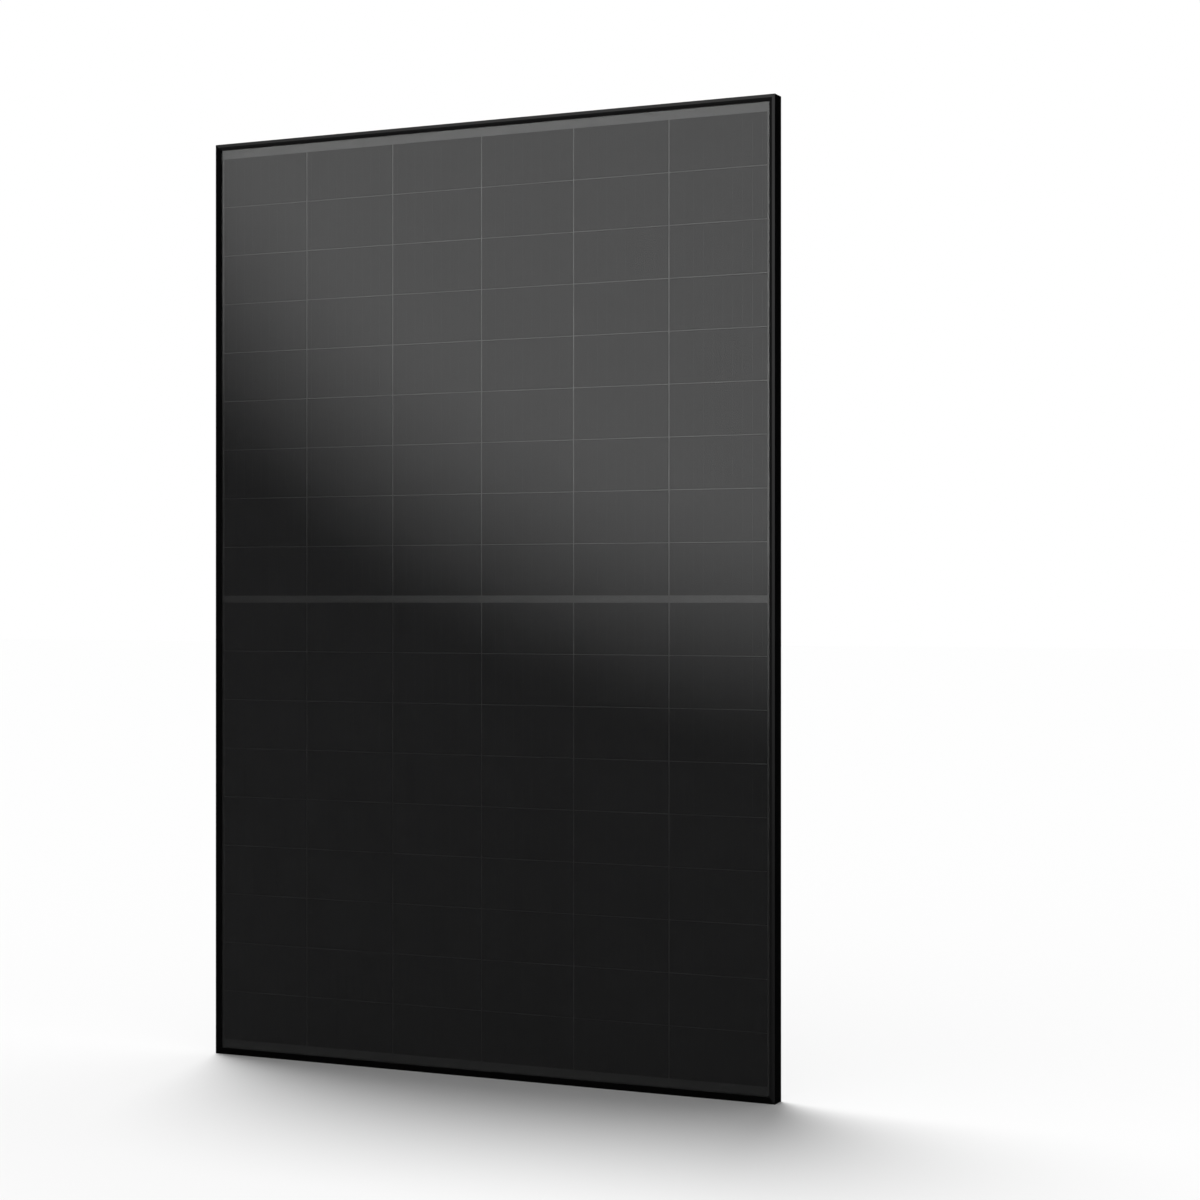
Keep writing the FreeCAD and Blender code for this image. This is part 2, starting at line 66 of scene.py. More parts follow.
def makeCamera(look):
    data = bpy.data.cameras.new("camera")
    data.lens = look["lens"]
    data.sensor_width = 36.0
    data.clip_start, data.clip_end = 0.05, 200.0
    camera = bpy.data.objects.new("camera", data)
    camera.location = look["place"]
    camera.rotation_euler = (math.radians(90), 0, math.radians(look["turn"]))
    scene.collection.objects.link(camera)
    scene.camera = camera


makeCamera(cameraLook)
print("camera placed")


def newMaterial(name, **settings):
    made = bpy.data.materials.new(name)
    made.use_nodes = True
    shader = made.node_tree.nodes["Principled BSDF"]
    for socket, value in settings.items():
        shader.inputs[socket.replace("_", " ")].default_value = value
    return made


def addNode(material, kind, **settings):
    node = material.node_tree.nodes.new(kind)
    for key, value in settings.items():
        if hasattr(node, key):
            setattr(node, key, value)
        else:
            node.inputs[key.replace("_", " ")].default_value = value
    return node


def join(material, source, target):
    material.node_tree.links.new(source, target)


def shaderOf(material):
    return material.node_tree.nodes["Principled BSDF"]


def noiseOver(material, scale, stretch=(1, 1, 1), detail=3.0):
    # noise in real metres; stretch above 1 makes it finer along that axis
    place = addNode(material, "ShaderNodeTexCoord")
    mapping = addNode(material, "ShaderNodeMapping", Scale=stretch)
    noise = addNode(material, "ShaderNodeTexNoise", Scale=scale, Detail=detail)
    join(material, place.outputs["Object"], mapping.inputs["Vector"])
    join(material, mapping.outputs["Vector"], noise.inputs["Vector"])
    return noise.outputs["Fac"]


def spread(material, value, low, high, fromLow=0.3, fromHigh=0.7):
    node = addNode(material, "ShaderNodeMapRange")
    ends = {"From Min": fromLow, "From Max": fromHigh, "To Min": low, "To Max": high}
    for key, number in ends.items():
        node.inputs[key].default_value = number
    join(material, value, node.inputs["Value"])
    return node.outputs["Result"]


def between(material, value, first, second, fromLow=0.3, fromHigh=0.7):
    # a colour that wanders between two colours with the value
    ramp = addNode(material, "ShaderNodeValToRGB")
    ramp.color_ramp.elements[0].position = fromLow
    ramp.color_ramp.elements[0].color = (*first, 1)
    ramp.color_ramp.elements[1].position = fromHigh
    ramp.color_ramp.elements[1].color = (*second, 1)
    join(material, value, ramp.inputs["Fac"])
    return ramp.outputs["Color"]


def bumpFrom(material, value, height, strength=1.0, normal=None):
    bump = addNode(material, "ShaderNodeBump", Strength=strength, Distance=height)
    join(material, value, bump.inputs["Height"])
    if normal:
        join(material, normal, bump.inputs["Normal"])
    return bump.outputs["Normal"]


def connectAll(material, color=None, roughness=None, normal=None):
    shader = shaderOf(material)
    for name, source in (("Base Color", color), ("Roughness", roughness), ("Normal", normal)):
        if source:
            join(material, source, shader.inputs[name])
    return material


frameFinish = {
    "dark": (0.0029, 0.0029, 0.0030),
    "light": (0.0042, 0.0042, 0.0044),
    "roughness": (0.28, 0.38),
}


def anodisedFrame(name, along):
    # drawn lines run along the bar, and the dye varies a little in broad patches
    look = frameFinish
    stretch = [60.0] * 3
    stretch[along] = 0.35
    made = newMaterial(name, Specular_IOR_Level=0.5)
    drawn = noiseOver(made, 60.0, stretch, 2.0)
    patches = noiseOver(made, 9.0)
    grain = noiseOver(made, 5200.0, detail=1.0)
    color = between(made, patches, look["dark"], look["light"])
    roughness = spread(made, drawn, *look["roughness"])
    normal = bumpFrom(made, drawn, 0.000012)
    normal = bumpFrom(made, grain, 0.000006, 0.5, normal)
    return connectAll(made, color, roughness, normal)


def bareAluminium(name="keyAluminium"):
    made = newMaterial(name, Metallic=1.0)
    drawn = noiseOver(made, 300.0, (1, 8, 1))
    color = between(made, drawn, (0.50, 0.50, 0.51), (0.66, 0.66, 0.67))
    return connectAll(made, color, spread(made, drawn, 0.28, 0.42), bumpFrom(made, drawn, 0.00003))


def paneGlass(name, roughness, tint):
    made = newMaterial(name, Transmission_Weight=1.0, IOR=1.46)
    shaderOf(made).inputs["Base Color"].default_value = (*tint, 1)
    waves = noiseOver(made, 5.0, detail=1.0)      # slow waves, as in rolled glass
    return connectAll(made, None, spread(made, waves, roughness * 0.85, roughness * 1.15))


def clearFilm(name="clearFilm"):
    made = newMaterial(name, Transmission_Weight=1.0, IOR=1.0, Roughness=0.0, Specular_IOR_Level=0.0)
    haze = noiseOver(made, 40.0)
    return connectAll(made, between(made, haze, (0.985, 0.985, 0.985), (1, 1, 1)))


cellLook = {
    "dark": (0.0046, 0.0047, 0.0052),
    "light": (0.0064, 0.0065, 0.0070),
    "fingerPitch": 0.0013,
    "fingerShare": 0.05,       # how much of the pitch a printed finger covers
    "finger": (0.016, 0.016, 0.017),
}


def siliconCell(name="siliconCell"):
    look = cellLook
    made = newMaterial(name, Specular_IOR_Level=0.12)
    place = addNode(made, "ShaderNodeTexCoord")
    split = addNode(made, "ShaderNodeSeparateXYZ")
    join(made, place.outputs["Object"], split.inputs["Vector"])
    steps = addNode(made, "ShaderNodeMath", operation="DIVIDE")
    join(made, split.outputs["Z"], steps.inputs[0])
    steps.inputs[1].default_value = look["fingerPitch"]
    share = addNode(made, "ShaderNodeMath", operation="FRACT")
    join(made, steps.outputs["Value"], share.inputs[0])
    isFinger = addNode(made, "ShaderNodeMath", operation="LESS_THAN")
    join(made, share.outputs["Value"], isFinger.inputs[0])
    isFinger.inputs[1].default_value = look["fingerShare"]
    texture = noiseOver(made, 26.0)               # broad variation of the coating
    # a colour mix has its two colours in sockets 6 and 7 and gives its result in 2
    mix = addNode(made, "ShaderNodeMix", data_type="RGBA")
    join(made, isFinger.outputs["Value"], mix.inputs[0])
    join(made, between(made, texture, look["dark"], look["light"]), mix.inputs[6])
    mix.inputs[7].default_value = (*look["finger"], 1)
    grain = noiseOver(made, 9000.0, detail=1.0)   # the etched pyramids
    roughness = spread(made, grain, 0.42, 0.58)
    return connectAll(made, mix.outputs[2], roughness, bumpFrom(made, grain, 0.000004))


def glazePrint(name, dark, light, roughness, gloss):
    # screen-printed enamel: fine screen grain and slightly uneven ink
    made = newMaterial(name, Specular_IOR_Level=gloss, IOR=1.62)
    screen = noiseOver(made, 3200.0, detail=1.0)
    ink = noiseOver(made, 30.0)
    color = between(made, ink, dark, light)
    low, high = roughness
    return connectAll(made, color, spread(made, screen, low, high), bumpFrom(made, screen, 0.000008))


def tinnedWire(name, dark, light):
    made = newMaterial(name, Metallic=1.0)
    solder = noiseOver(made, 700.0, (1, 1, 0.2))
    color = between(made, solder, dark, light)
    return connectAll(made, color, spread(made, solder, 0.35, 0.55), bumpFrom(made, solder, 0.00002))


def mouldedPlastic(name, dark, light, roughness, grainSize, grainDepth):
    made = newMaterial(name, Specular_IOR_Level=0.45)
    spark = noiseOver(made, 1.0 / grainSize, detail=2.0)
    flow = noiseOver(made, 55.0)
    color = between(made, flow, dark, light)
    low, high = roughness
    return connectAll(made, color, spread(made, spark, low, high), bumpFrom(made, spark, grainDepth))


def curedSilicone(name, dark, light, roughness):
    made = newMaterial(name, Specular_IOR_Level=0.4)
    flow = noiseOver(made, 160.0)
    color = between(made, flow, dark, light)
    low, high = roughness
    return connectAll(made, color, spread(made, flow, low, high), bumpFrom(made, flow, 0.00015, 0.6))


def cableJacket(name="cableJacket"):
    made = newMaterial(name, Specular_IOR_Level=0.5)
    skin = noiseOver(made, 420.0, (1, 1, 0.25))
    fine = noiseOver(made, 5000.0, detail=1.0)
    color = between(made, skin, (0.008, 0.008, 0.008), (0.014, 0.014, 0.014))
    normal = bumpFrom(made, skin, 0.00003)
    normal = bumpFrom(made, fine, 0.000008, 0.6, normal)
    return connectAll(made, color, spread(made, fine, 0.18, 0.28), normal)


printLook = {
    # darkest and lightest ink, roughness, gloss
    "blackPrint": ((0.0075, 0.0075, 0.0077), (0.0105, 0.0105, 0.0107), (0.16, 0.24), 1.0),
    "blackBorder": ((0.0055, 0.0055, 0.0057), (0.0075, 0.0075, 0.0077), (0.2, 0.3), 0.68),
    "coatedRibbon": ((0.0055, 0.0055, 0.0057), (0.0075, 0.0075, 0.0077), (0.2, 0.3), 0.72),
    "whitePrint": ((0.76, 0.76, 0.755), (0.84, 0.84, 0.835), (0.45, 0.6), 0.3),
    "whiteBand": ((0.31, 0.31, 0.31), (0.37, 0.37, 0.37), (0.45, 0.6), 0.3),   # a thin coat on black
}

plasticLook = {
    # darkest and lightest colour, roughness, size and depth of the moulded grain
    "boxPlastic": ((0.0045, 0.0045, 0.0046), (0.0065, 0.0065, 0.0066), (0.42, 0.56), 0.0004, 0.00003),
    "connectorPlastic": ((0.0055, 0.0055, 0.0055), (0.0075, 0.0075, 0.0075), (0.34, 0.48),
                         0.0003, 0.00002),
    "diodeEpoxy": ((0.010, 0.010, 0.010), (0.014, 0.014, 0.014), (0.5, 0.65), 0.0002, 0.00001),
}

siliconeLook = {
    # darkest and lightest colour, roughness
    "sealant": ((0.006, 0.006, 0.006), (0.010, 0.010, 0.010), (0.38, 0.55)),
    "potting": ((0.012, 0.012, 0.013), (0.020, 0.020, 0.021), (0.12, 0.22)),
    "sealRubber": ((0.020, 0.020, 0.020), (0.030, 0.030, 0.030), (0.5, 0.7)),
}

metalLook = {
    # darkest and lightest colour
    "coatedWire": ((0.010, 0.010, 0.011), (0.018, 0.018, 0.019)),
    "tinnedContact": ((0.55, 0.54, 0.52), (0.75, 0.74, 0.71)),
    "copperPlate": ((0.42, 0.20, 0.12), (0.60, 0.32, 0.20)),
}

finishes = {
    "frameUpright": anodisedFrame("frameUpright", 2),
    "frameCross": anodisedFrame("frameCross", 0),
    "keyAluminium": bareAluminium(),
    "frontGlass": paneGlass("frontGlass", 0.035, (0.99, 0.995, 0.99)),
    "rearGlass": paneGlass("rearGlass", 0.008, (0.985, 0.995, 0.988)),
    "clearFilm": clearFilm(),
    "siliconCell": siliconCell(),
    "cableJacket": cableJacket(),
}
for looks, make in ((printLook, glazePrint), (plasticLook, mouldedPlastic),
                    (siliconeLook, curedSilicone), (metalLook, tinnedWire)):
    for name, numbers in looks.items():
        finishes[name] = make(name, *numbers)
print("materials made:", len(finishes))


def paint(target, finish):
    target.data.materials.clear()
    target.data.materials.append(finishes[finish])


carriedOver = {
    "frame_left": "frameUpright", "frame_right": "frameUpright",
    "frame_top": "frameCross", "frame_bottom": "frameCross",
    "corner_keys": "keyAluminium", "edge_sealant": "sealant", "box_adhesive": "sealant",
    "front_glass": "frontGlass", "rear_glass": "rearGlass",
    "ribbons_top": "coatedRibbon", "ribbons_middle": "coatedRibbon", "ribbons_bottom": "coatedRibbon",
    "plug_seal": "sealRubber", "socket_seal": "sealRubber", "socket_ring": "sealRubber",
    "plug_pin": "tinnedContact", "socket_sleeve": "tinnedContact",
}
boxInsides = {"_terminals": "copperPlate", "_diode": "diodeEpoxy", "_potting": "potting"}
for name in nodes:
    if name.startswith("cells_"):
        carriedOver[name] = "siliconCell"
    for part, finish in boxInsides.items():
        if name.endswith(part):
            carriedOver[name] = finish
for name, finish in carriedOver.items():
    paint(nodes[name], finish)
print("carried-over parts painted:", len(carriedOver))


sharpAngle = math.radians(35)        # faces that meet at more than this keep a hard edge


def meshPiece(name, build, finish, body, smooth=True):
    mesh = bpy.data.meshes.new(name)
    bm = bmesh.new()
    build(bm)
    bmesh.ops.recalc_face_normals(bm, faces=bm.faces)
    bm.to_mesh(mesh)
    bm.free()
    piece = bpy.data.objects.new(name, mesh)
    scene.collection.objects.link(piece)
    mesh.materials.append(finishes[finish])
    if smooth:
        mesh.shade_smooth()
        mesh.set_sharp_from_angle(angle=sharpAngle)
    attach(piece, body)
    return piece


def addSlab(bm, low, high):
    size = Vector(high) - Vector(low)
    middle = (Vector(high) + Vector(low)) / 2
    bmesh.ops.create_cube(bm, size=1.0, matrix=Matrix.Translation(middle) @ Matrix.Diagonal((*size, 1)))


def joinRings(bm, rings, capStart=True, capEnd=True):
    # each ring is a list of points, all of the same count; neighbours are bridged into a skin
    loops = [[bm.verts.new(p) for p in ring] for ring in rings]
    count = len(loops[0])
    for lower, upper in zip(loops, loops[1:]):
        for i in range(count):
            j = (i + 1) % count
            bm.faces.new((lower[i], lower[j], upper[j], upper[i]))
    if capStart:
        bm.faces.new(list(reversed(loops[0])))
    if capEnd:
        bm.faces.new(loops[-1])


def circleOf(centre, radius, steps, about):
    # a ring of points about the X, Y or Z line through its centre
    ring = []
    for k in range(steps):
        turn = math.tau * k / steps
        a, b = radius * math.cos(turn), radius * math.sin(turn)
        offset = {"x": (0, a, b), "y": (a, 0, b), "z": (a, b, 0)}[about]
        ring.append(tuple(c + o for c, o in zip(centre, offset)))
    return ring


def bevelEdges(piece, width, angle):
    # every edge sharper than the angle is rounded off in two facets
    made = piece.modifiers.new("softEdges", "BEVEL")
    made.width = width
    made.segments = 2
    made.limit_method = "ANGLE"
    made.angle_limit = math.radians(angle)


laminateLook = {
    "skin": 0.00002,         # room left between layers that touch in the CAD
    "wiresPerCell": 10,
    "wireWidth": 0.0003,
    "wireThickness": 0.00012,
    "wireEnd": 0.003,        # how far a wire stops short of the string's last edge
}


def latticeOf(bm, xEdges, zEdges, windows, isBorder, back, front):
    # a flat grille: every square of the table that isn't a window becomes solid
    corners = {}

    def corner(i, k, y):
        key = (i, k, y)
        if key not in corners:
            corners[key] = bm.verts.new((xEdges[i], y, zEdges[k]))
        return corners[key]

    across, up = len(xEdges) - 1, len(zEdges) - 1

    def solid(i, k):
        return 0 <= i < across and 0 <= k < up and (i, k) not in windows

    for i in range(across):
        for k in range(up):
            if not solid(i, k):
                continue
            for y in (back, front):
                square = ((0, 0), (1, 0), (1, 1), (0, 1))
                face = bm.faces.new([corner(i + a, k + b, y) for a, b in square])
                face.material_index = 1 if isBorder(i, k) else 0
            # a side wall wherever the next square is open
            for a, b, ends in ((-1, 0, ((0, 0), (0, 1))), (1, 0, ((1, 0), (1, 1))),
                               (0, -1, ((0, 0), (1, 0))), (0, 1, ((0, 1), (1, 1)))):
                if not solid(i + a, k + b):
                    (p, q), (r, s) = ends
                    bm.faces.new([corner(i + p, k + q, back), corner(i + r, k + s, back),
                                  corner(i + r, k + s, front), corner(i + p, k + q, front)])


def cellPlaces():
    # the box of every string, by column and bank, read from the imported parts
    return {name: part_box(name) for name in nodes if name.startswith("cells_")}


def islandsOf(name):
    # the Z spans of the cells in one string
    heights = sorted({round(v.co.z, 6) for v in nodes[name].data.vertices})
    return list(zip(heights[0::2], heights[1::2]))


gridLook = {
    "columnLine": 0.0030,    # width of a line between two columns
    "rowLine": 0.0020,
    "band": 0.0174,          # height of the wide band across the middle
}


def gridPrint(name, cadNode, finish, borderFinish, framed, skin):
    # the border finish goes on the wide band, and on the outer margins too where the print is framed
    low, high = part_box(cadNode)
    strings = cellPlaces()
    columns = sorted({(round(b[0].x, 6), round(b[1].x, 6)) for b in strings.values()})
    rows = sorted(set(islandsOf("cells_upper_1") + islandsOf("cells_lower_1")))
    gap = columns[1][0] - columns[0][1]
    sideLap = (gridLook["columnLine"] - gap) / 2
    rowGap = rows[1][0] - rows[0][1]
    rowLap = (gridLook["rowLine"] - rowGap) / 2
    xEdges, zEdges, windows = [low.x], [low.z], set()
    for start, stop in columns:
        xEdges += [start + sideLap, stop - sideLap]
    band = gridLook["band"]
    for start, stop in rows:
        # the two rows beside the middle end at the wide band
        lower = band / 2 if 0 < start < band else start + rowLap
        upper = -band / 2 if -band < stop < 0 else stop - rowLap
        zEdges += [lower, upper]
    xEdges.append(high.x)
    zEdges.append(high.z)
    for i in range(len(columns)):
        for k in range(len(rows)):
            windows.add((2 * i + 1, 2 * k + 1))

    def isBorder(i, k):
        return k == len(rows) or (framed and (i in (0, 2 * len(columns)) or k in (0, 2 * len(rows))))

    def build(bm):
        latticeOf(bm, xEdges, zEdges, windows, isBorder, high.y - skin, low.y + skin)

    piece = meshPiece(name, build, finish, "panel", smooth=False)
    piece.data.materials.append(finishes[borderFinish])
    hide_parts(cadNode)
    return piece


def filmLayer(name, cadNode, back, front):
    low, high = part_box(cadNode)
    piece = meshPiece(name, lambda bm: addSlab(bm, (low.x, front, low.z), (high.x, back, high.z)),
                      "clearFilm", "panel", smooth=False)
    piece.visible_shadow = False
    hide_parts(cadNode)


def wireRuns(name, bank):
    # each wire runs over the front of one cell, through the gap and over the back of the next
    look = laminateLook
    half = look["wireWidth"] / 2
    thick = look["wireThickness"]
    strings = sorted(string for string in cellPlaces() if bank in string)

    def build(bm):
        for string in strings:
            low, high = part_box(string)
            spans = islandsOf(string)
            pitch = (high.x - low.x) / look["wiresPerCell"]
            for w in range(look["wiresPerCell"]):
                x = low.x + pitch * (w + 0.5)
                for index, (start, stop) in enumerate(spans):
                    route = [(low.y, stop - look["wireEnd"]), (low.y, start)]
                    if index:
                        below = spans[index - 1]
                        back = high.y + thick
                        route += [(back, below[1]), (back, below[0] + look["wireEnd"])]
                    section = ((-half, 0), (half, 0), (half, -thick), (-half, -thick))
                    joinRings(bm, [[(x + dx, y + dy, z) for dx, dy in section] for y, z in route])

    piece = meshPiece(name, build, "coatedWire", "panel", smooth=False)


skin = laminateLook["skin"]
blackGrid = gridPrint("blackGrid", "grid_print_black", "blackPrint", "blackBorder", True, skin / 4)
whiteGrid = gridPrint("whiteGrid", "grid_print_white", "whitePrint", "whiteBand", False, skin / 4)
cellLow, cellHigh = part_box("cells_upper_1")
room = laminateLook["wireThickness"] + skin
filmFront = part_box("front_encapsulant")
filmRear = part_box("rear_encapsulant")
filmLayer("frontFilm", "front_encapsulant", cellLow.y - room, filmFront[0].y + skin)
filmLayer("rearFilm", "rear_encapsulant", filmRear[1].y - skin, cellHigh.y + room)
for bank in ("upper", "lower"):
    wireRuns("cellWires_" + bank, bank)
for name in ("front_glass", "rear_glass"):
    nodes[name].visible_shadow = False
    nodes[name].visible_diffuse = False
for name in ("frontFilm", "rearFilm"):
    bpy.data.objects[name].visible_diffuse = False
print("laminate made")


boxLook = {
    "corner": 0.003,
    "cornerSteps": 6,
    "wall": 0.0018,
    "leastCorner": 0.0005,   # no inner ring has a smaller corner radius
    "waist": 0.0005,         # how far the walls stand in from the foot
    "ribCount": 7,
    "ribWidth": 0.0012,
    "ribDepth": 0.0004,
    "ribInset": 0.0001,      # how far a rib's face stands in from the foot
    "ribFoot": 0.0014,       # from the tray's back to a rib's near end
    "ribHead": 0.0015,       # from the tray's rim to its far end
    "tray": 0.0015,          # thickness of the tray's floor
}


def roundedOutline(width, height, radius, steps):
    points = []
    for quarter, (sx, sz) in enumerate(((1, 1), (-1, 1), (-1, -1), (1, -1))):
        for step in range(steps + 1):
            angle = math.radians(90 * quarter + 90 * step / steps)
            points.append((sx * (width / 2 - radius) + radius * math.cos(angle),
                           sz * (height / 2 - radius) + radius * math.sin(angle)))
    return points


def boxRings(low, high, profile):
    # the profile is (inset from the box's outline, Y)
    middle = (low + high) / 2
    width, height = high.x - low.x, high.z - low.z
    rings = []
    for inset, y in profile:
        radius = max(boxLook["corner"] - inset, boxLook["leastCorner"])
        outline = roundedOutline(width - 2 * inset, height - 2 * inset, radius, boxLook["cornerSteps"])
        rings.append([(middle.x + x, y, middle.z + z) for x, z in outline])
    return rings


def boxBase(prefix):
    node = prefix + "_box_base"
    look = boxLook
    low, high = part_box(node)
    wall, waist = look["wall"], look["waist"]
    floor = low.y + look["tray"]
    profile = [
        (0.0004, low.y), (0.0, low.y + 0.0003), (0.0, low.y + 0.0012), (waist, low.y + 0.0016),
        (waist, high.y - 0.0017), (0.0001, high.y - 0.0014), (0.0001, high.y - 0.0003),
        (0.0004, high.y), (wall - 0.0003, high.y), (wall, high.y - 0.0003), (wall, floor),
    ]

    def build(bm):
        joinRings(bm, boxRings(low, high, profile))
        half = look["ribWidth"] / 2
        for side, face in ((-1, low.z), (1, high.z)):
            outer = face - side * look["ribInset"]
            inner = face - side * (waist + look["ribDepth"])
            for index in range(look["ribCount"]):
                x = low.x + (high.x - low.x) * (index + 1) / (look["ribCount"] + 1)
                addSlab(bm, (x - half, low.y + look["ribFoot"], min(outer, inner)),
                        (x + half, high.y - look["ribHead"], max(outer, inner)))

    piece = meshPiece(prefix + "BoxBase", build, "boxPlastic", "panel")
    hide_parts(node)


lidLook = {
    "thickness": 0.0015,
    "recess": 0.0006,
    "bars": 5,               # raised bars on each side of the vent
    "barPitch": 0.0028,
    "barWidth": 0.0008,
    "barEnd": 0.008,         # from the lid's short edge
    "barGap": 0.006,         # from the middle
    "barSunk": 0.0002,       # below the recess
    "barRise": 0.0003,       # above it
    "ventRadius": 0.0028,
    "ventSteps": 32,
    # (share of the vent's radius, height over the recess)
    "vent": [(1.0, -0.0002), (1.0, 0.0003), (0.86, 0.00042), (0.55, 0.00042), (0.5, 0.0002)],
}


def boxLid(prefix):
    node = prefix + "_box_lid"
    look = lidLook
    low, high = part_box(node)
    under = high.y - look["thickness"]
    wall = boxLook["wall"]
    profile = [
        (wall + 0.0015, under), (wall + 0.0015, low.y), (wall + 0.0003, low.y), (wall + 0.0003, under),
        (0.0003, under), (0.0, under + 0.0002), (0.0, high.y - 0.0007), (0.00015, high.y - 0.0003),
        (0.0005, high.y - 0.00006), (0.0009, high.y), (0.0030, high.y), (0.0034, high.y - 0.0001),
        (0.0038, high.y - 0.0005), (0.0042, high.y - 0.0006),
    ]
    recess = high.y - look["recess"]
    middle = (low + high) / 2
    spans = ((low.x + look["barEnd"], middle.x - look["barGap"]),
             (middle.x + look["barGap"], high.x - look["barEnd"]))

    def build(bm):
        joinRings(bm, boxRings(low, high, profile))
        half = look["barWidth"] / 2
        for index in range(look["bars"]):
            z = middle.z + (index - (look["bars"] - 1) / 2) * look["barPitch"]
            for start, stop in spans:
                addSlab(bm, (start, recess - look["barSunk"], z - half),
                        (stop, recess + look["barRise"], z + half))
        rings = []
        for share, rise in look["vent"]:
            size = look["ventRadius"] * share
            rings.append(circleOf((middle.x, recess + rise, middle.z), size, look["ventSteps"], "y"))
        joinRings(bm, rings)

    piece = meshPiece(prefix + "BoxLid", build, "boxPlastic", prefix + "_lid")
    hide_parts(node)


for prefix in ("plug", "middle", "socket"):
    boxBase(prefix)
    boxLid(prefix)
print("junction boxes made")


sides = {"plug": -1, "socket": 1}

cableLook = {
    "diameter": 0.0053,
    "length": 0.188,
    # the route of the +X lead: out of the strain relief, round a bend and down into the back nut
    "route": [
        (0.40606, -0.0145, 0.0),
        (0.4240, -0.0145, 0.0),
        (0.4445, -0.0143, -0.010),
        (0.4562, -0.0139, -0.032),
        (0.4570, -0.0130, -0.074),
        (0.4558, -0.0110, -0.122),
        (0.4558, -0.0110, -0.1564),
    ],
}

reliefLook = {
    # (distance from the box wall, radius), millimetres
    "profile": [(0, 4.75), (0.7, 4.7), (0.95, 4.2), (1.5, 4.15), (1.75, 4.5), (2.5, 4.35), (2.75, 3.85),
                (3.3, 3.8), (3.55, 4.15), (4.2, 4.0), (4.45, 3.55), (5.0, 3.5), (5.2, 3.8), (5.75, 3.7),
                (6.0, 3.45), (6.0, 2.66)],
    "steps": 40,
}

connectorLook = {
    "offset": 0.4558,        # of the axis from the panel's centre line
    "depth": -0.011,
    "top": -0.1424,
    "steps": 112,            # round the nut, seven to a flute
    "roundSteps": 64,        # round a housing
    "flutes": 16,
    "fluteDepth": 0.5,       # millimetres
    # (radius, distance below the nut's top, share of the flute's depth), millimetres
    "nut": [(3.05, 0.35, 0), (3.35, 0, 0), (6.1, 0, 0), (6.6, 0.2, 0), (8.4, 3.7, 0), (8.8, 4.4, 0),
            (8.9, 5.2, 0), (8.9, 5.9, 1), (8.9, 16.3, 1), (8.9, 17.0, 0), (8.9, 18.3, 0), (8.6, 18.7, 0),
            (6.3, 18.7, 0), (6.3, 6, 0), (3.05, 6, 0)],
    "barrel": 7.3,           # radius of both housings between their collars
    "plugBody": [(6.0, 14), (6.0, 19), (7.9, 19), (8.2, 19.25), (8.2, 21.7), (7.95, 22), (7.6, 22.4),
                 (7.3, 23.0), (7.3, 54.4), (7.05, 54.8), (6.8, 55), (5.6, 55), (5.2, 54.6), (5.2, 33),
                 (2.52, 33), (2.52, 18)],
    "socketBody": [(6.0, 14), (6.0, 19), (7.9, 19), (8.2, 19.25), (8.2, 21.7), (7.95, 22), (7.6, 22.4),
                   (7.3, 23.0), (7.3, 30.6), (7.7, 31), (8.0, 31.1), (8.2, 31.4), (8.2, 34.6), (7.9, 35),
                   (5.2, 35), (4.9, 35.4), (4.9, 38), (4.2, 38), (4.2, 39.8), (4.9, 39.8), (4.9, 54.3),
                   (4.4, 55), (2.6, 55), (2.3, 54.7), (2.3, 53), (3.12, 53), (3.12, 20)],
    # (distance out from the axis, distance below the nut's top), millimetres
    "arm": [(9.05, 30), (10.05, 30), (10.4, 30.6), (10.4, 32.4), (10.05, 33.0), (10.05, 36.0),
            (10.35, 36.4), (10.05, 36.8), (10.05, 38.6), (10.35, 39), (10.05, 39.4), (10.05, 41.2),
            (10.35, 41.6), (10.05, 42.0), (10.05, 48.5), (10.4, 49.2), (10.4, 50.6), (9.75, 53),
            (9.15, 53), (8.65, 49.2), (8.95, 47.2), (9.05, 46.6)],
    "armHalfDepth": 3.2,
    # how far an edge is rounded, metres, and the least angle that is
    "housingEdge": (0.00025, 50),
    "armEdge": (0.00015, 30),
    # grip ribs down the housing: their places across it, half width, depth in and out, start and ends
    "ribs": (-2.2, 0, 2.2),
    "ribHalf": 0.45,
    "ribSunk": 0.6,
    "ribStart": 25,
    "ribEnd": {"plug": 50, "socket": 30},
    # the latch roots: (nearest and farthest from the axis, half depth, start and end)
    "roots": [(6.2, 10.35, 3.9, 23.2, 29.6), (6.0, 8.1, 2.2, 22.0, 24.0)],
}


def makeCable(prefix, side):
    look = cableLook
    data = bpy.data.curves.new(prefix + "Cable", "CURVE")
    data.dimensions = "3D"
    data.bevel_depth = look["diameter"] / 2
    data.bevel_resolution = 7
    data.resolution_u = 20
    data.use_fill_caps = True
    spline = data.splines.new("NURBS")
    spline.points.add(len(look["route"]) - 1)
    for point, (x, y, z) in zip(spline.points, look["route"]):
        point.co = (side * x, y, z, 1)
    spline.order_u = 3
    spline.use_endpoint_u = True
    data.materials.append(finishes["cableJacket"])
    piece = bpy.data.objects.new(prefix + "Cable", data)
    scene.collection.objects.link(piece)
    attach(piece, "panel")
    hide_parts(prefix + "_cable")
    x, y, z = look["route"][0]


def makeRelief(prefix, side):
    low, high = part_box(prefix + "_gland")
    wall = low.x if side > 0 else high.x
    depth = (low.y + high.y) / 2

    def build(bm):
        joinRings(bm, [circleOf((wall + side * t / 1000, depth, 0), r / 1000, reliefLook["steps"], "x")
                       for t, r in reliefLook["profile"]])

    piece = meshPiece(prefix + "StrainRelief", build, "boxPlastic", "panel")
    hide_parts(prefix + "_gland")


def axisPoint(side, distance):
    look = connectorLook
    return side * look["offset"], look["depth"], look["top"] - distance / 1000


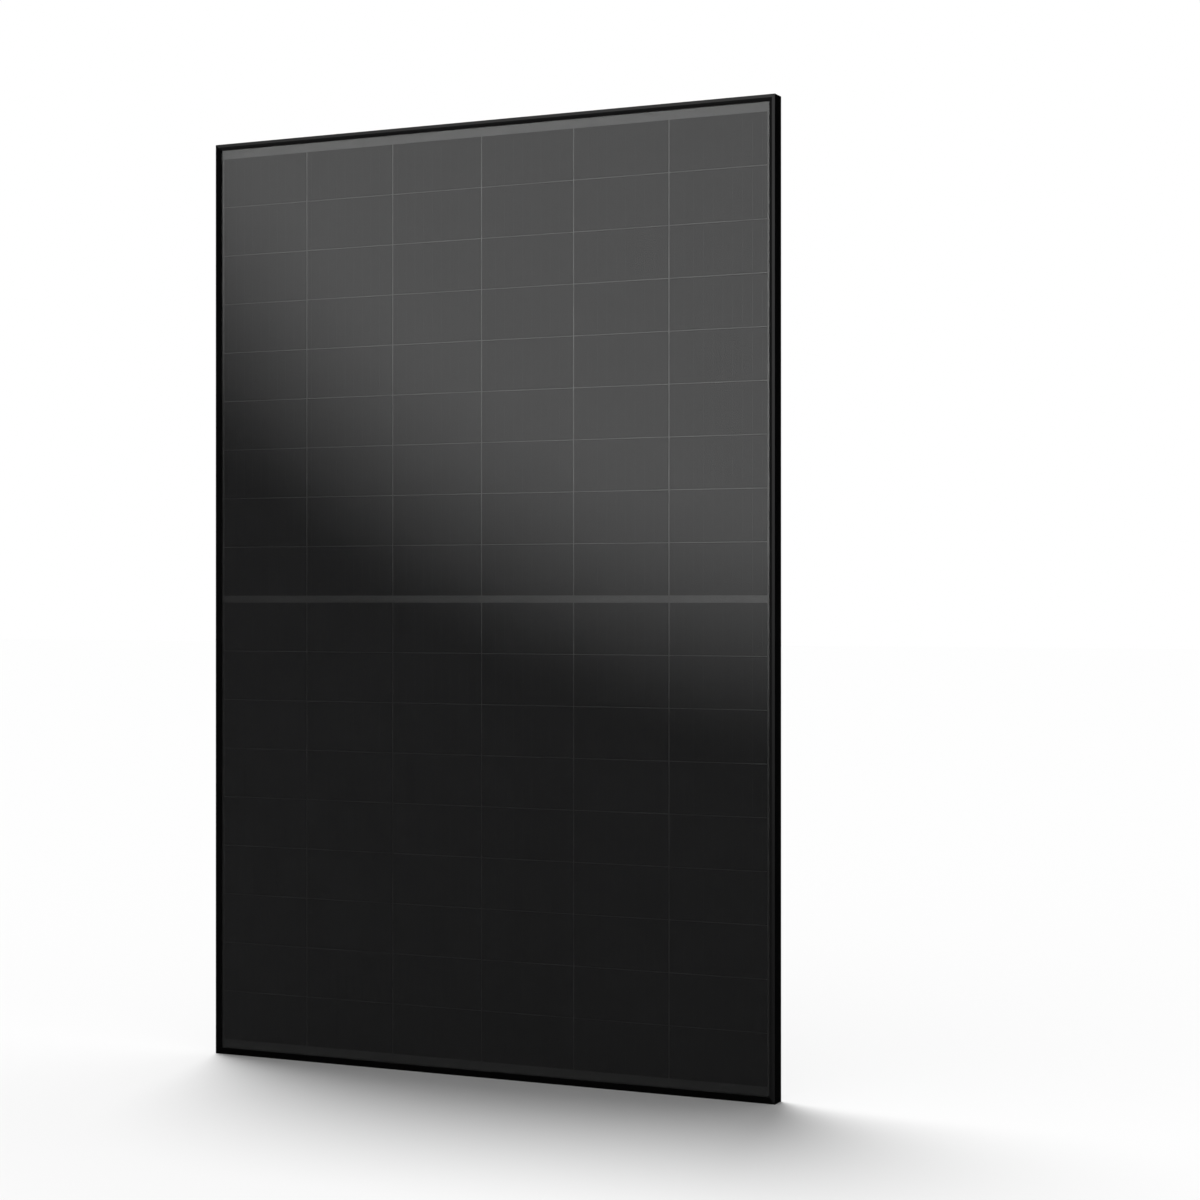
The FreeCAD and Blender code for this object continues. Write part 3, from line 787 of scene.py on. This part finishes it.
def makeNut(prefix, side):
    look = connectorLook

    def build(bm):
        rings = []
        for radius, distance, share in look["nut"]:
            x, y, z = axisPoint(side, distance)
            ring = []
            for k in range(look["steps"]):
                angle = math.tau * k / look["steps"]
                wave = 0.5 - 0.5 * math.cos(look["flutes"] * angle)
                size = (radius - share * look["fluteDepth"] * wave) / 1000
                ring.append((x + size * math.cos(angle), y + size * math.sin(angle), z))
            rings.append(ring)
        joinRings(bm, rings + [rings[0]], capStart=False, capEnd=False)
        bmesh.ops.remove_doubles(bm, verts=bm.verts, dist=1e-7)     # closes the last ring on the first

    piece = meshPiece(prefix + "BackNut", build, "connectorPlastic", prefix + "_back_nut")
    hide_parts(prefix + "_nut")
    return piece


def blockOnAxis(bm, side, xs, ys, distances):
    x, y, top = axisPoint(side, 0)
    addSlab(bm, (x + min(xs) / 1000, y + min(ys) / 1000, top - max(distances) / 1000),
            (x + max(xs) / 1000, y + max(ys) / 1000, top - min(distances) / 1000))


def makeHousing(prefix, side):
    look = connectorLook

    def build(bm):
        profile = look[prefix + "Body"]
        joinRings(bm, [circleOf(axisPoint(side, s), r / 1000, look["roundSteps"], "z") for r, s in profile])
        for face in (-1, 1):
            for offset in look["ribs"]:
                reach = math.sqrt(look["barrel"] ** 2 - offset ** 2)
                blockOnAxis(bm, side, (offset - look["ribHalf"], offset + look["ribHalf"]),
                            (face * (reach - look["ribSunk"]), face * (reach + look["ribHalf"])),
                            (look["ribStart"], look["ribEnd"][prefix]))
        if prefix == "plug":
            for face in (-1, 1):
                for near, far, half, start, end in look["roots"]:
                    blockOnAxis(bm, side, (face * near, face * far), (-half, half), (start, end))

    piece = meshPiece(prefix + "Housing", build, "connectorPlastic", "panel")
    bevelEdges(piece, *look["housingEdge"])
    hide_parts(prefix + "_body")
    return piece


def makeArm(name, cadNode, face, body):
    look = connectorLook
    x, y, top = axisPoint(sides["plug"], 0)
    half = look["armHalfDepth"] / 1000

    def build(bm):
        outline = [(x + face * r / 1000, top - s / 1000) for r, s in look["arm"]]
        joinRings(bm, [[(across, y + deep, down) for across, down in outline] for deep in (-half, half)])

    piece = meshPiece(name, build, "connectorPlastic", body)
    bevelEdges(piece, *look["armEdge"])
    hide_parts(cadNode)
    return piece


for prefix, side in sides.items():
    makeRelief(prefix, side)
    onIt = [makeNut(prefix, side), makeHousing(prefix, side), nodes[prefix + "_seal"]]
    if prefix == "plug":
        onIt += [makeArm("plugArmOuter", "plug_latch_outer", -1, "outer_latch"),
                 makeArm("plugArmInner", "plug_latch_inner", 1, "inner_latch"), nodes["plug_pin"]]
    else:
        onIt += [nodes["socket_sleeve"], nodes["socket_ring"]]
    makeCable(prefix, side)
print("leads and connectors made")


studioLook = {
    "floorShade": (0.92, 0.92, 0.92),
    "floorSize": 80.0,
    "seen": 1.0,             # the white room behind the panel
    "light": 0.36,           # what it gives to matt surfaces
    "mirrored": 0.035,       # how much of it glass and gloss show
    "lampStrength": 2.4,
    "lampSpread": 24.0,      # degrees across: a broad soft lamp
    "lampFrom": (-0.27, 0.25, 1.0),
    "lampAway": 4.0,         # metres; only the place of its marker, as the light is a sun's
}


def makeFloor(look):
    half = look["floorSize"] / 2
    level = cadBox[0].z
    mesh = bpy.data.meshes.new("floor")
    square = [(-half, -half, level), (half, -half, level), (half, half, level), (-half, half, level)]
    mesh.from_pydata(square, [], [(0, 1, 2, 3)])
    floor = bpy.data.objects.new("floor", mesh)
    scene.collection.objects.link(floor)
    matte = newMaterial("floorMatte", Roughness=0.9, Specular_IOR_Level=0.0)
    shaderOf(matte).inputs["Base Color"].default_value = (*look["floorShade"], 1)
    mesh.materials.append(matte)
    floor.visible_glossy = False
    floor.visible_transmission = False


def makeRoom(look):
    # one white room in three strengths: to the eye, to matt surfaces and in reflections
    room = bpy.data.worlds.new("studio")
    scene.world = room
    room.use_nodes = True
    tree = room.node_tree
    tree.nodes.clear()
    output = tree.nodes.new("ShaderNodeOutputWorld")
    rays = tree.nodes.new("ShaderNodeLightPath")
    shades = {}
    for use in ("seen", "light", "mirrored"):
        shades[use] = tree.nodes.new("ShaderNodeBackground")
        shades[use].inputs["Color"].default_value = (1, 1, 1, 1)
        shades[use].inputs["Strength"].default_value = look[use]
    inner = tree.nodes.new("ShaderNodeMixShader")
    outer = tree.nodes.new("ShaderNodeMixShader")
    tree.links.new(rays.outputs["Is Glossy Ray"], inner.inputs["Fac"])
    tree.links.new(shades["light"].outputs["Background"], inner.inputs[1])
    tree.links.new(shades["mirrored"].outputs["Background"], inner.inputs[2])
    tree.links.new(rays.outputs["Is Camera Ray"], outer.inputs["Fac"])
    tree.links.new(inner.outputs["Shader"], outer.inputs[1])
    tree.links.new(shades["seen"].outputs["Background"], outer.inputs[2])
    tree.links.new(outer.outputs["Shader"], output.inputs["Surface"])
    scene.view_settings.view_transform = "Standard"


def makeLamp(look):
    data = bpy.data.lights.new("softLamp", "SUN")
    data.energy = look["lampStrength"]
    data.angle = math.radians(look["lampSpread"])
    lamp = bpy.data.objects.new("softLamp", data)
    lamp.location = Vector(look["lampFrom"]) * look["lampAway"]
    lamp.rotation_mode = "QUATERNION"
    lamp.rotation_quaternion = Vector(look["lampFrom"]).to_track_quat("Z", "Y")
    scene.collection.objects.link(lamp)


cardLook = {
    # each card: its middle, its turn about Z in degrees, its size, and a round glow that fades to a
    # dim border: the glow's middle on the card, its radius, its soft edge and the two brightnesses,
    # and the frame bars that would mirror the card as a streak, so it is kept off them
    "front": {"centre": (-3.16, -6.0, 0.0), "turn": 0, "size": (44.0, 44.0),
              "glow": (2.22, 4.65), "radius": 4.84, "soft": 1.2, "bright": 1.07, "dim": 0.085,
              "notOn": ("frame_left", "frame_bottom")},
    "rear": {"centre": (3.16, 6.0, 0.0), "turn": 180, "size": (44.0, 44.0),
             "glow": (4.9, 0.6), "radius": 4.1, "soft": 0.9, "bright": 0.62, "dim": 0.10,
             "notOn": ("frame_left", "frame_right", "frame_top", "frame_bottom")},
}


def makeCard(name, look):
    half, tall = look["size"][0] / 2, look["size"][1] / 2
    mesh = bpy.data.meshes.new(name)
    square = [(-half, 0, -tall), (half, 0, -tall), (half, 0, tall), (-half, 0, tall)]
    mesh.from_pydata(square, [], [(0, 1, 2, 3)])
    card = bpy.data.objects.new(name, mesh)
    card.location = look["centre"]
    card.rotation_euler.z = math.radians(look["turn"])
    scene.collection.objects.link(card)
    spared = bpy.data.collections.new(name + "Spares")
    for bar in look["notOn"]:
        spared.objects.link(nodes[bar])
    card.light_linking.receiver_collection = spared
    for kept in spared.collection_objects:
        kept.light_linking.link_state = "EXCLUDE"
    glow = bpy.data.materials.new(name)
    glow.use_nodes = True
    tree = glow.node_tree
    tree.nodes.clear()
    output = tree.nodes.new("ShaderNodeOutputMaterial")
    emission = tree.nodes.new("ShaderNodeEmission")
    place = tree.nodes.new("ShaderNodeTexCoord")
    away = tree.nodes.new("ShaderNodeVectorMath")
    away.operation = "DISTANCE"
    away.inputs[1].default_value = (look["glow"][0], 0, look["glow"][1])
    fade = tree.nodes.new("ShaderNodeMapRange")
    fade.interpolation_type = "SMOOTHSTEP"
    fade.inputs["From Min"].default_value = look["radius"] - look["soft"] / 2
    fade.inputs["From Max"].default_value = look["radius"] + look["soft"] / 2
    fade.inputs["To Min"].default_value = look["bright"]
    fade.inputs["To Max"].default_value = look["dim"]
    tree.links.new(place.outputs["Object"], away.inputs[0])
    tree.links.new(away.outputs["Value"], fade.inputs["Value"])
    tree.links.new(fade.outputs["Result"], emission.inputs["Strength"])
    tree.links.new(emission.outputs["Emission"], output.inputs["Surface"])
    mesh.materials.append(glow)
    glow.cycles.emission_sampling = "NONE"     # only mirrored, so it is found by reflected rays alone
    card.visible_camera = False
    card.visible_diffuse = False
    card.visible_shadow = False


makeFloor(studioLook)
makeRoom(studioLook)
makeLamp(studioLook)
for name, look in cardLook.items():
    makeCard(name + "Card", look)
print("stage made")
